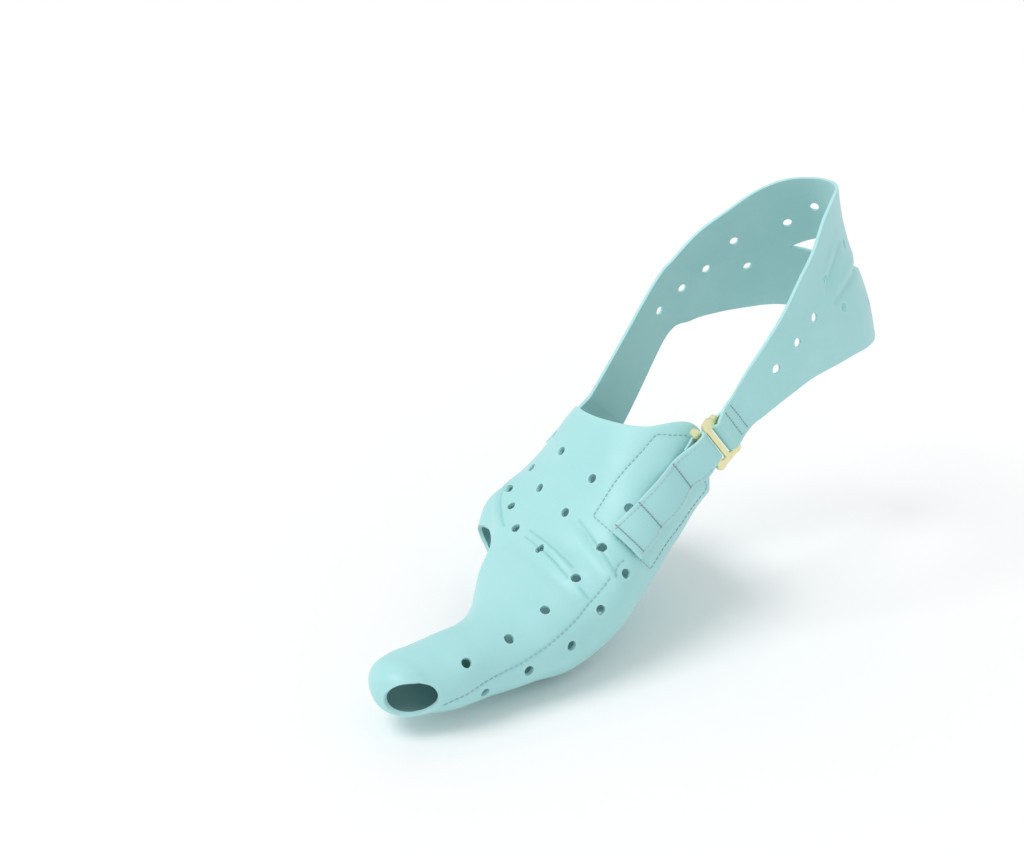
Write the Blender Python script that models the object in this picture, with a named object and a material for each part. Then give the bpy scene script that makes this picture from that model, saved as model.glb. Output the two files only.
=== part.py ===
"""Bunion corrector: a soft leather brace for a right foot, with a toe sleeve, a buckled side and a heel strap.

The brace keeps the form it has when worn. +Z is up along the leg, the toe sleeve points to -Y, and +X is the side
of the hook clasp. The origin is the middle of the wrap's rear opening.
"""

import bmesh
import bpy
import numpy as np
from math import pi, radians
from mathutils import Matrix, Vector

# Leather and clearances
SLEEVE_WALL = 0.0015
STRAP_WALL = 0.0012
GAP = 0.0003
HOLE_WIDTH = 0.0034

# Sleeve: the wrap and the toe tube in front of it
SLEEVE_REACH = 0.1225
SLEEVE_DROP = 0.0465
BALL_WIDTH = 0.0890
INSTEP_HEIGHT = 0.0540
TOE_WIDTH = 0.0280
TOE_HEIGHT = 0.0260
TOE_SIDE = 0.0300
TOE_OPENING_WIDTH = 0.0165
TOE_OPENING_HEIGHT = 0.0118
TOE_OPENING_TURN = 50.0

# Ladder strap: three loops in a row on the side of the wrap. Its length runs from the clasp's prong to its low end,
# and each loop starts at its share of it.
LADDER_LENGTH = 0.0450
LOOP_STARTS = (0.0, 0.289, 0.693, 1.0)
LADDER_PUFF = 0.0014

# Hook clasp between the ladder strap and the heel strap
HOOK_LENGTH = 0.0172
HOOK_BAR = 0.0021
HOOK_THICKNESS = 0.0014
HOOK_LIFT = 0.0042
PRONG_SHIFT = 0.0018
PRONG_PITCH = 0.0043
SLOT_PITCH = 0.0045
STRAP_PLAY = 0.0006
STRAP_WIDTH = HOOK_LENGTH - 2 * HOOK_BAR - 2 * STRAP_PLAY  # both straps fill the clasp

# Heel strap
HEEL_BACK = 0.1020
HEEL_WIDTH = 0.0660
HEEL_RISE = 0.0863
TAIL_LENGTH = 0.0100
STRAP_FLARE = 0.0021
SLIT_LENGTH = 0.0330
SLIT_WIDTH = 0.0110
HEEL_BULGE = 0.0016

# Sections of the sleeve from the heel side to the toe's tip. forward is a share of SLEEVE_REACH and
# drop of SLEEVE_DROP. In a wrap row, side and half are shares of BALL_WIDTH, top and under of INSTEP_HEIGHT; in a
# toe row, side is a share of TOE_SIDE, half of TOE_WIDTH, top and under of TOE_HEIGHT. tilt leans a section forward
# and turn turns it to the big-toe side, in degrees, and lean makes the big-toe side thicker.
SECTION_COLUMNS = (
    "kind", "along", "forward", "drop", "side", "half", "top", "under", "tilt", "turn", "lean")
SECTIONS = (
    ("wrap", 0.00, -0.18, -0.26, 0.00, 0.30, 0.52, 0.41, 28, 0, 0.00),
    ("wrap", 0.13, -0.03, -0.03, 0.00, 0.325, 0.475, 0.395, 30, 0, 0.00),
    ("wrap", 0.24, 0.10, 0.19, 0.015, 0.362, 0.395, 0.375, 30, 0, 0.08),
    ("wrap", 0.35, 0.21, 0.39, 0.025, 0.405, 0.31, 0.335, 27, 0, 0.20),
    ("wrap", 0.44, 0.31, 0.56, 0.030, 0.450, 0.255, 0.34, 22, 0, 0.27),
    ("wrap", 0.53, 0.41, 0.68, 0.100, 0.395, 0.255, 0.355, 16, 0, 0.20),
    ("wrap", 0.61, 0.51, 0.75, 0.195, 0.305, 0.25, 0.325, 10, 0, 0.10),
    ("toe", 0.70, 0.61, 0.80, 0.86, 0.625, 0.47, 0.50, 6, 0, 0.00),
    ("toe", 0.79, 0.71, 0.81, 0.965, 0.465, 0.435, 0.42, 4, 0, 0.00),
    ("toe", 0.88, 0.81, 0.815, 0.99, 0.44, 0.415, 0.40, 3, 0, 0.00),
    ("toe", 0.92, 0.857, 0.81, 0.96, 0.43, 0.37, 0.40, 1, 5, 0.00),
    ("toe", 0.95, 0.917, 0.805, 0.93, 0.42, 0.325, 0.375, 0, 15, 0.00),
    ("toe", 0.975, 0.958, 0.805, 1.01, 0.365, 0.29, 0.32, 0, 30, 0.00),
    ("toe", 0.99, 0.975, 0.81, 1.13, 0.245, 0.21, 0.22, 0, 42, 0.00),
    ("toe", 1.00, 0.977, 0.815, 1.215, 0.075, 0.075, 0.075, 0, 50, 0.00),
)
ROUNDNESS = 2.2  # 2 is an ellipse, more is squarer

# Rear edge of the sleeve, as shares of its length, all the way round from the big-toe side over the top.
REAR_COLUMNS = ("around", "along")
REAR_EDGE = (
    (0, 0.095),
    (15, 0.072),
    (35, 0.070),
    (60, 0.140),
    (90, 0.175),
    (135, 0.168),
    (180, 0.135),
    (270, 0.100),
)

# Middle of the opening in the toe's tip: to the side in TOE_SIDE, forward in SLEEVE_REACH and down in SLEEVE_DROP.
TOE_OPENING = (1.235, 0.955, 0.815)

# Front edge of the wrap beside the toe tube: how far it reaches forward over the top and below, as shares of
# SLEEVE_REACH, at shares of BALL_WIDTH to the side.
FRONT_COLUMNS = ("side", "over", "under")
FRONT_EDGE = (
    (-0.44, 0.425, 0.350),
    (-0.30, 0.415, 0.36),
    (-0.20, 0.422, 0.39),
    (-0.10, 0.460, 0.435),
    (0.00, 0.540, 0.52),
    (0.10, 0.665, 0.64),
    (0.14, 0.79, 0.79),
    (0.18, 1.10, 1.10),
)

# Ranks of punched holes in the sleeve: the rank's share of the length, and the angles round the section.
RANK_COLUMNS = ("along", "angles")
RANKS = (
    (0.292, (39.5, 75.5, 107, 136.5, 218, 255, 290, 326)),
    (0.402, (16, 44.5)),
    (0.390, (80, 106, 133, 160, 190, 220, 250, 284, 322)),
    (0.459, (132,)),
    (0.475, (117,)),
    (0.500, (13.5, 48, 81, 103.5, 262, 296, 332)),
    (0.596, (2, 306)),
    (0.611, (50,)),
    (0.713, (-2,)),
    (0.734, (51,)),
    (0.828, (-19,)),
    (0.862, (44,)),
)
RANK_BEND = 0.045  # how far a rank falls back towards the heel at the outer side
RANK_BEND_ANGLES = (80, 122)

# Folds where the wrap is pulled in by the strap: two ends, each an angle and a share of the length, and the
# height and width of the ridge as shares of SLEEVE_WALL.
FOLD_COLUMNS = ("start_around", "start_along", "end_around", "end_along", "height", "width")
FOLDS = (
    (95, 0.490, 40, 0.515, 0.70, 1.6),
    (94, 0.470, 54, 0.487, 0.60, 1.4),
    (70, 0.388, 21, 0.428, 0.60, 1.5),
    (142, 0.380, 114, 0.520, 1.30, 2.0),
)

# Middle line of the ladder strap: the angle round the sleeve and the share of its length at the two ends, and how
# many degrees the line sags between them.
LADDER_HOOK_END = (14.4, 0.085)
LADDER_LOW_END = (29.0, 0.362)
LADDER_SAG = 3.0
HOOK_TURN = 2.0

# Bars of the hook clasp, each from one end to the other: along the strap in pitches, prong side below zero, and
# across it in half lengths.
BAR_COLUMNS = ("start_along", "start_across", "end_along", "end_across")
BARS = (
    (-1.0, -1.0, -1.0, 1.25),
    (-1.0, -1.0, 1.0, -1.0),
    (0.0, -1.0, 0.0, 1.0),
    (1.0, -1.0, 1.0, 1.0),
    (0.0, 1.0, 1.0, 1.0),
)

# Edges of the heel strap from the clasp to the middle of the heel: back is a share of HEEL_BACK, side of half
# HEEL_WIDTH and up of HEEL_RISE, for the low edge and the high one.
STRAP_COLUMNS = ("low_back", "low_side", "low_up", "high_back", "high_side", "high_up")
STRAP_ROWS = (
    (0.275, 0.98, 0.235, 0.205, 0.92, 0.430),
    (0.370, 1.00, 0.290, 0.288, 0.94, 0.555),
    (0.485, 0.99, 0.338, 0.368, 0.91, 0.660),
    (0.595, 0.94, 0.353, 0.450, 0.83, 0.760),
    (0.705, 0.865, 0.359, 0.540, 0.71, 0.845),
    (0.825, 0.76, 0.355, 0.628, 0.55, 0.935),
    (0.925, 0.55, 0.342, 0.715, 0.38, 0.985),
    (0.985, 0.29, 0.334, 0.794, 0.20, 0.997),
    (1.000, 0.00, 0.331, 0.819, 0.00, 1.000),
)
# Holes of the heel strap on the big-toe side: the row, counted from the first, and the share of the way up.
STRAP_HOLE_COLUMNS = ("row", "up")
STRAP_HOLES = (
    (1.0, 0.52),
    (2.0, 0.54),
    (3.0, 0.57),
    (4.1, 0.70),
    (4.4, 0.40),
    (5.9, 0.69),
    (6.1, 0.25),
    (7.0, 0.80),
)
# Where the strap's other end lies on the outer side of the wrap: angles and shares of the sleeve's length.
LANDING_COLUMNS = ("low_around", "low_along", "high_around", "high_along")
LANDING = (
    (202, 0.085, 160, 0.120),
    (200, 0.155, 161, 0.185),
    (198, 0.225, 163, 0.250),
)

# Faces of the solids
SLEEVE_FACES = (44, 32)
TIP_CROWD = 0.6
LADDER_FACES = (3, 26)
STRAP_FACES = (6, 2)
HOOK_FACES = (14, 22)
HOLE_SIDES = 8
SNAP = 0.00002

MINT = (0.440, 0.760, 0.760, 1)
PALE_GOLD = (0.800, 0.780, 0.450, 1)


def column(rows, columns, name):
    return np.array([row[columns.index(name)] for row in rows], dtype=float)


def smooth(at, stations, values):
    """A smooth curve through the values at the stations, read at the places asked for."""
    slopes = np.gradient(values, stations, axis=0)
    at = np.clip(at, stations[0], stations[-1])
    low = np.clip(np.searchsorted(stations, at, side="right") - 1, 0, len(stations) - 2)
    span = stations[low + 1] - stations[low]
    t = (at - stations[low]) / span
    if values.ndim > 1:
        span, t = span[..., None], t[..., None]
    start, end = values[low], values[low + 1]
    return (
        start * (1 + 2 * t) * (1 - t) ** 2
        + end * t * t * (3 - 2 * t)
        + slopes[low] * span * t * (1 - t) ** 2
        - slopes[low + 1] * span * t * t * (1 - t)
    )


def smooth_round(degrees, stations, values):
    """The same curve on a closed ring of 360 degrees."""
    wide = np.concatenate((stations[-2:] - 360, stations, stations[:2] + 360))
    around = np.concatenate((values[-2:], values, values[:2]))
    return smooth(np.mod(degrees, 360), wide, around)


def unit(vectors):
    return vectors / np.linalg.norm(vectors, axis=-1, keepdims=True)


def section_sizes():
    """The section table in metres and radians, one array for each column."""
    units = {
        "wrap": dict(side=BALL_WIDTH, half=BALL_WIDTH, top=INSTEP_HEIGHT, under=INSTEP_HEIGHT),
        "toe": dict(side=TOE_SIDE, half=TOE_WIDTH, top=TOE_HEIGHT, under=TOE_HEIGHT),
    }
    common = {"forward": SLEEVE_REACH, "drop": SLEEVE_DROP, "tilt": radians(1), "turn": radians(1)}
    table = {}
    for name in SECTION_COLUMNS[1:]:
        scale = [{**common, **units[row[0]]}.get(name, 1) for row in SECTIONS]
        table[name] = column(SECTIONS, SECTION_COLUMNS, name) * scale
    return table


SECTION = section_sizes()


def section(name, along):
    return smooth(along, SECTION["along"], SECTION[name])


def sleeve_point(around, along):
    """Middle of the sleeve's wall, at an angle round the section in degrees and a share of the length."""
    angle = np.radians(around)
    wide = np.sign(np.cos(angle)) * np.abs(np.cos(angle)) ** (2 / ROUNDNESS) * section("half", along)
    high = np.sign(np.sin(angle)) * np.abs(np.sin(angle)) ** (2 / ROUNDNESS)
    high = high * np.where(high > 0, section("top", along), section("under", along))
    high = high * (1 + section("lean", along) * np.cos(angle))
    tilt, turn = section("tilt", along), section("turn", along)
    x = section("side", along) + wide * np.cos(turn) + high * np.sin(tilt) * np.sin(turn)
    y = -section("forward", along) + wide * np.sin(turn) - high * np.sin(tilt) * np.cos(turn)
    z = -section("drop", along) + high * np.cos(tilt)
    return np.stack((x, y, z), axis=-1)


def sleeve_frame(around, along):
    """Point, direction round, direction towards the toe and outward direction on the sleeve."""
    turn, step = 0.5, 0.002
    point = sleeve_point(around, along)
    round_way = sleeve_point(around + turn, along) - sleeve_point(around - turn, along)
    toe_way = sleeve_point(around, along + step) - sleeve_point(around, along - step)
    return point, unit(round_way), unit(toe_way), unit(np.cross(round_way, toe_way))


def rear_edge(around):
    angles = column(REAR_EDGE, REAR_COLUMNS, "around")
    return smooth_round(around, angles, column(REAR_EDGE, REAR_COLUMNS, "along"))


def past_front_edge(points, around):
    """How far points of the sleeve lie past the front edge; they are cut away where this is above zero."""
    side = points[..., 0] / BALL_WIDTH
    stations = column(FRONT_EDGE, FRONT_COLUMNS, "side")
    over = smooth(side, stations, column(FRONT_EDGE, FRONT_COLUMNS, "over"))
    under = smooth(side, stations, column(FRONT_EDGE, FRONT_COLUMNS, "under"))
    edge = under + (over - under) * (1 + np.sin(np.radians(around))) / 2
    return -points[..., 1] - edge * SLEEVE_REACH


def in_toe_opening(points):
    """How far points of the sleeve lie inside the oval opening in the toe's tip."""
    side, forward, drop = TOE_OPENING
    middle = np.array([side * TOE_SIDE, -forward * SLEEVE_REACH, -drop * SLEEVE_DROP])
    turn = radians(TOE_OPENING_TURN)
    wide = (points - middle) @ np.array([np.cos(turn), np.sin(turn), 0]) / (TOE_OPENING_WIDTH / 2)
    high = (points - middle)[..., 2] / (TOE_OPENING_HEIGHT / 2)
    ahead = (points - middle) @ np.array([np.sin(turn), -np.cos(turn), 0])
    inside = (1 - np.hypot(wide, high)) * TOE_OPENING_HEIGHT / 2
    return np.where(ahead > -TOE_OPENING_HEIGHT / 2, inside, -TOE_OPENING_HEIGHT)


def sleeve_place(flat):
    """Angle round the sleeve and share of its length for a flat pattern, with closer rows at the toe's tip."""
    around = flat[:, 0] * 360
    rear = rear_edge(around)
    pace = flat[:, 1] * (1 + TIP_CROWD * (1 - flat[:, 1]))
    return around, rear + pace * (1 - rear)


def fold_heights(points):
    """Height of the folds over the smooth sleeve at each point: a ridge, with a shallow valley beside it."""
    heights = np.zeros(len(points))
    for row in FOLDS:
        fold = dict(zip(FOLD_COLUMNS, row))
        t = np.linspace(0, 1, 15)
        around = fold["start_around"] + t * (fold["end_around"] - fold["start_around"])
        along = fold["start_along"] + t * (fold["end_along"] - fold["start_along"])
        line, _, toe_way, _ = sleeve_frame(around, along)
        nearest = np.linalg.norm(points[:, None] - line[None], axis=-1).argmin(axis=1)
        offset = points - line[nearest]
        distance = np.linalg.norm(offset, axis=-1)
        side = np.sign((offset * toe_way[nearest]).sum(axis=-1))
        width = fold["width"] * SLEEVE_WALL
        fade = np.sin(pi * np.clip(t[nearest], 0.04, 0.96)) ** 0.5
        ridge = np.exp(-((distance / width) ** 2))
        valley = np.exp(-((side * distance / width - 1.8) ** 2))
        heights += fold["height"] * SLEEVE_WALL * fade * (ridge - 0.6 * valley)
    return heights


def sleeve_surface(around, along):
    point, _, _, outward = sleeve_frame(around, along)
    return point + outward * fold_heights(point)[:, None]


def flat_pattern(columns, rows):
    """A flat sheet one unit wide and one long, ready to be cut and then shaped."""
    mesh = bmesh.new()
    bmesh.ops.create_grid(mesh, x_segments=columns, y_segments=rows, size=0.5)
    bmesh.ops.translate(mesh, verts=mesh.verts, vec=(0.5, 0.5, 0))
    return mesh


def corners(mesh):
    return np.array([vert.co for vert in mesh.verts])


def cut_away(mesh, outside):
    """Cuts a flat pattern along the line where the value at its corners is zero, and drops what is above."""
    for vert, height in zip(mesh.verts, outside):
        vert.co.z = height
    geometry = [*mesh.verts, *mesh.edges, *mesh.faces]
    bmesh.ops.bisect_plane(
        mesh, geom=geometry, dist=SNAP, plane_co=(0, 0, 0), plane_no=(0, 0, 1), clear_outer=True
    )


def shape(mesh, points):
    for vert, point in zip(mesh.verts, points):
        vert.co = point


def new_object(name, mesh, material):
    data = bpy.data.meshes.new(name)
    mesh.to_mesh(data)
    mesh.free()
    data.shade_smooth()
    thing = bpy.data.objects.new(name, data)
    if material:
        data.materials.append(material)
    bpy.context.collection.objects.link(thing)
    return thing


def give_wall(thing, thickness):
    wall = thing.modifiers.new("wall", "SOLIDIFY")
    wall.thickness = thickness
    wall.offset = 0


def punch(thing, points, outward, width, depth):
    """Cuts a round hole through a wall at each point."""
    cutter = bmesh.new()
    for point, direction in zip(points, outward):
        turn = Vector(direction).to_track_quat("Z", "Y").to_matrix().to_4x4()
        place = Matrix.Translation(Vector(point)) @ turn
        bmesh.ops.create_cone(
            cutter, cap_ends=True, segments=HOLE_SIDES, radius1=width / 2, radius2=width / 2,
            depth=depth, matrix=place,
        )
    punches = new_object(thing.name + "_punches", cutter, None)
    punches.hide_render = True
    punches.display_type = "WIRE"
    cut = thing.modifiers.new("holes", "BOOLEAN")
    cut.operation = "DIFFERENCE"
    cut.object = punches


def sleeve_holes():
    """Angles and shares of the length of the punched holes."""
    start, full = RANK_BEND_ANGLES
    around = np.concatenate([np.array(angles, dtype=float) for _, angles in RANKS])
    along = np.concatenate([np.full(len(angles), share) for share, angles in RANKS])
    bend = np.clip((around - start) / (full - start), 0, 1.1)
    return around, along - RANK_BEND * bend ** 2


def make_sleeve(material):
    mesh = flat_pattern(*SLEEVE_FACES)
    around, along = sleeve_place(corners(mesh))
    points = sleeve_point(around, along)
    cut_away(mesh, np.maximum(past_front_edge(points, around), in_toe_opening(points)))
    shape(mesh, sleeve_surface(*sleeve_place(corners(mesh))))
    bmesh.ops.remove_doubles(mesh, verts=mesh.verts, dist=SNAP)
    bmesh.ops.recalc_face_normals(mesh, faces=mesh.faces)
    sleeve = new_object("sleeve", mesh, material)
    give_wall(sleeve, SLEEVE_WALL)
    around, along = sleeve_holes()
    point, _, _, outward = sleeve_frame(around, along)
    punch(sleeve, point, outward, HOLE_WIDTH, 6 * SLEEVE_WALL)
    return sleeve


def ladder_place(share):
    """Angle round the sleeve and share of its length, at a share of the ladder strap's middle line."""
    around = LADDER_HOOK_END[0] + share * (LADDER_LOW_END[0] - LADDER_HOOK_END[0])
    around = around - 4 * LADDER_SAG * share * (1 - share)
    return around, LADDER_HOOK_END[1] + share * (LADDER_LOW_END[1] - LADDER_HOOK_END[1])


def ladder_line():
    """Middle line of the ladder strap: reach from the prong, angle round the sleeve and share of its length."""
    share = np.linspace(-0.1, 1.4, 61)
    around, along = ladder_place(share)
    points = sleeve_point(around, along)
    steps = np.linalg.norm(np.diff(points, axis=0), axis=-1)
    reach = np.concatenate(([0], np.cumsum(steps)))
    reach -= np.interp(0, share, reach)
    return reach, around, along


FOLD_RADIUS = np.hypot(HOOK_BAR, HOOK_THICKNESS) / 2 + GAP + STRAP_WALL / 2
SEAT = SLEEVE_WALL / 2 + GAP + STRAP_WALL / 2


def ladder_profile():
    """Reach from the prong and height over the sleeve, from the low end up, round the prong and back under."""
    top = HOOK_LIFT + FOLD_RADIUS
    under = HOOK_LIFT - FOLD_RADIUS
    starts = LADDER_LENGTH * np.array(LOOP_STARTS)
    bar = starts[1]
    reach = np.linspace(LADDER_LENGTH, bar, 15)
    loops = SEAT + LADDER_PUFF * np.sin(pi * np.interp(reach, starts, range(len(starts)))) ** 2
    first = np.linspace(bar, 0, 7)[1:]
    rise = SEAT + (top - SEAT) * (1 + np.cos(pi * first / bar)) / 2
    turn = np.radians(np.linspace(90, 270, 7)[1:-1])
    back = np.array([0, 0.25, 0.5]) * bar
    return np.concatenate((
        np.stack((reach, loops), axis=-1),
        np.stack((first, rise), axis=-1),
        np.stack((FOLD_RADIUS * np.cos(turn), HOOK_LIFT + FOLD_RADIUS * np.sin(turn)), axis=-1),
        np.stack((back, under + (SEAT - under) * back / (0.5 * bar)), axis=-1),
    ))


def ladder_surface(across, share):
    """Middle of the ladder strap: across its width from -1 to 1, and a share of its profile."""
    profile = ladder_profile()
    at = share * (len(profile) - 1)
    stations = np.arange(len(profile), dtype=float)
    reach, height = smooth(at, stations, profile).T
    line_reach, line_around, line_along = ladder_line()
    around = np.interp(reach, line_reach, line_around)
    along = np.interp(reach, line_reach, line_along)
    point, round_way, _, outward = sleeve_frame(around, along)
    turn = 1.0
    arc = np.linalg.norm(sleeve_point(around + turn, along) - point, axis=-1)
    around = around + across * STRAP_WIDTH / 2 / arc * turn
    point, _, _, outward = sleeve_frame(around, along)
    on_sleeve = point + outward * height[:, None]

    middle, heel_way, hook_across, outward = hook_frame()
    in_clasp = (
        middle - heel_way * (PRONG_PITCH + reach[:, None])
        + hook_across * (PRONG_SHIFT + across * STRAP_WIDTH / 2)[:, None]
        + outward * (height - HOOK_LIFT)[:, None]
    )
    seated = np.clip(reach / (0.7 * LADDER_LENGTH * LOOP_STARTS[1]), 0, 1)
    seated = (seated ** 2 * (3 - 2 * seated))[:, None]
    return in_clasp + (on_sleeve - in_clasp) * seated


def make_ladder_strap(material):
    mesh = flat_pattern(*LADDER_FACES)
    flat = corners(mesh)
    shape(mesh, ladder_surface(flat[:, 0] * 2 - 1, flat[:, 1]))
    strap = new_object("ladder_strap", mesh, material)
    give_wall(strap, STRAP_WALL)
    return strap


def hook_frame():
    """Middle of the clasp, the direction towards the heel, across the strap and outward."""
    around, along = ladder_place(-PRONG_PITCH / LADDER_LENGTH)
    point, _, toe_way, outward = sleeve_frame(np.array([around]), np.array([along]))
    toe_way, outward = toe_way[0], outward[0]
    across = np.cross(outward, -toe_way)
    turn = radians(HOOK_TURN)
    heel_way = -toe_way * np.cos(turn) + across * np.sin(turn)
    return point[0] + outward * HOOK_LIFT, heel_way, unit(np.cross(outward, heel_way)), outward


def hook_bars():
    """Ends of the clasp's bars in metres, along the strap and across it."""
    half = (HOOK_LENGTH - HOOK_BAR) / 2
    for row in BARS:
        bar = dict(zip(BAR_COLUMNS, row))
        ends = []
        for end in ("start", "end"):
            along = bar[end + "_along"]
            ends.append((along * (PRONG_PITCH if along < 0 else SLOT_PITCH), bar[end + "_across"] * half))
        yield np.array(ends)


def make_hook_clasp(material):
    mesh = flat_pattern(*HOOK_FACES)
    flat = corners(mesh)
    low = np.array([-PRONG_PITCH - HOOK_BAR, -HOOK_LENGTH / 2 - HOOK_BAR / 2])
    high = np.array([SLOT_PITCH + HOOK_BAR, 1.25 * HOOK_LENGTH / 2 + HOOK_BAR / 2])
    place = low + flat[:, :2] * (high - low)
    distances = []
    for start, end in hook_bars():
        t = np.clip((place - start) @ (end - start) / ((end - start) @ (end - start)), 0, 1)
        distances.append(np.linalg.norm(place - start - t[:, None] * (end - start), axis=-1))
    cut_away(mesh, np.min(distances, axis=0) - HOOK_BAR / 2)
    place = low + corners(mesh)[:, :2] * (high - low)
    middle, heel_way, across, _ = hook_frame()
    shape(mesh, middle + place[:, :1] * heel_way + place[:, 1:] * across)
    clasp = new_object("hook_clasp", mesh, material)
    give_wall(clasp, HOOK_THICKNESS)
    return clasp


def strap_rows():
    """Low and high edges of the heel strap, a pair of points for each row, from its tail to its landing."""
    middle, heel_way, across, outward = hook_frame()
    middle = middle + heel_way * SLOT_PITCH
    turn = np.radians(np.linspace(270, 90, 7))
    rows = [(TAIL_LENGTH, -0.66 * STRAP_WALL, 0), (TAIL_LENGTH / 2, -0.40 * FOLD_RADIUS, 0)]
    rows += [(FOLD_RADIUS * np.cos(angle), FOLD_RADIUS * np.sin(angle), 0) for angle in turn]
    rows[-1] = (0, FOLD_RADIUS, 0.3)
    rows += [(TAIL_LENGTH / 2, 0.40 * FOLD_RADIUS, 0.75), (TAIL_LENGTH, 0.66 * STRAP_WALL, 1)]
    edges = []
    for reach, lift, flare in rows:
        edge = middle + heel_way * reach + outward * lift
        half = STRAP_WIDTH / 2 * across
        edges.append((edge - half, edge + half + flare * STRAP_FLARE * across))

    scale = np.array([HEEL_WIDTH / 2, HEEL_BACK, HEEL_RISE])
    table = []
    for row in STRAP_ROWS:
        place = dict(zip(STRAP_COLUMNS, row))
        table.append([
            scale * (place[edge + "_side"], place[edge + "_back"], place[edge + "_up"]) for edge in ("low", "high")
        ])
    mirrored = [[edge * (-1, 1, 1) for edge in row] for row in reversed(table[1:-1])]
    landing = []
    for row in LANDING:
        place = dict(zip(LANDING_COLUMNS, row))
        pair = []
        for edge in ("low", "high"):
            point, _, _, outward = sleeve_frame(
                np.array([float(place[edge + "_around"])]), np.array([place[edge + "_along"]])
            )
            pair.append(point[0] + outward[0] * SEAT)
        landing.append(pair)
    return np.array([*edges, *table, *mirrored, *landing])


STRAP_START = 11  # rows of the fold round the clasp, before the first row of the table


def landed_surface(rows, up, at):
    """Where the heel strap lies on the wrap, for places in the rows of the landing."""
    at = at - (len(rows) - len(LANDING))
    stations = np.arange(len(LANDING), dtype=float)
    sleeve_at = []
    for name in ("_around", "_along"):
        low = smooth(at, stations, column(LANDING, LANDING_COLUMNS, "low" + name))
        high = smooth(at, stations, column(LANDING, LANDING_COLUMNS, "high" + name))
        sleeve_at.append(low + (high - low) * up)
    point, _, _, outward = sleeve_frame(*sleeve_at)
    return point + outward * (SEAT + GAP / 2)


def strap_surface(rows, up, at):
    """Middle of the heel strap: a share of the way up, and a place counted in rows."""
    stations = np.arange(len(rows), dtype=float)
    low = smooth(at, stations, rows[:, 0])
    high = smooth(at, stations, rows[:, 1])
    point = low + (high - low) * up[:, None]
    behind = np.clip(point[:, 1] / HEEL_BACK, 0, 1) ** 2
    outward = unit(np.stack((point[:, 0], point[:, 1] - 0.6 * HEEL_BACK, np.zeros(len(point))), axis=-1))
    point = point + outward * (HEEL_BULGE * behind * np.sin(2 * pi * up))[:, None]
    landed = np.clip(at - (len(rows) - len(LANDING)) + 1, 0, 1)
    landed = (landed ** 2 * (3 - 2 * landed))[:, None]
    return point + (landed_surface(rows, up, at) - point) * landed


def make_heel_strap(material):
    rows = strap_rows()
    count = len(rows) - 1
    across, steps = STRAP_FACES
    mesh = flat_pattern(across, count * steps)
    flat = corners(mesh)
    points = strap_surface(rows, flat[:, 0], flat[:, 1] * count)
    behind = points[:, 1] > HEEL_BACK / 2
    open_share = 1 - (points[:, 0] / (SLIT_LENGTH / 2)) ** 2
    height = HEEL_RISE * (1 - STRAP_ROWS[-1][STRAP_COLUMNS.index("low_up")])
    slit = SLIT_WIDTH / 2 * open_share - np.abs(flat[:, 0] - 0.5) * height
    cut_away(mesh, np.where(behind, slit, -1))
    flat = corners(mesh)
    shape(mesh, strap_surface(rows, flat[:, 0], flat[:, 1] * count))
    strap = new_object("heel_strap", mesh, material)
    give_wall(strap, STRAP_WALL)

    last = len(STRAP_ROWS) - 1
    at = column(STRAP_HOLES, STRAP_HOLE_COLUMNS, "row")
    up = column(STRAP_HOLES, STRAP_HOLE_COLUMNS, "up")
    at = STRAP_START + np.concatenate((at, 2 * last - at))
    up = np.concatenate((up, up))
    point = strap_surface(rows, up, at)
    long_way = strap_surface(rows, up, at + 0.05) - point
    up_way = strap_surface(rows, up + 0.02, at) - point
    punch(strap, point, unit(np.cross(up_way, long_way)), HOLE_WIDTH, 6 * STRAP_WALL)
    return strap


def make_material(name, colour, metallic, roughness):
    material = bpy.data.materials.new(name)
    material.use_nodes = True
    surface = material.node_tree.nodes["Principled BSDF"]
    surface.inputs["Base Color"].default_value = colour
    surface.inputs["Metallic"].default_value = metallic
    surface.inputs["Roughness"].default_value = roughness
    return material


def main():
    for thing in list(bpy.data.objects):
        bpy.data.objects.remove(thing)
    leather = make_material("mint_leather", MINT, 0, 0.5)
    gold = make_material("pale_gold", PALE_GOLD, 1, 0.3)
    make_sleeve(leather)
    make_ladder_strap(leather)
    make_hook_clasp(gold)
    make_heel_strap(leather)


main()
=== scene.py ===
"""Bunion corrector in mint leather: its toe sleeve, ladder strap, hook clasp and heel strap."""

import bmesh
import bpy
import numpy as np
from bpy.props import FloatProperty, FloatVectorProperty, PointerProperty
from math import pi, radians
from mathutils import Matrix, Vector
from mathutils.kdtree import KDTree


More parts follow.
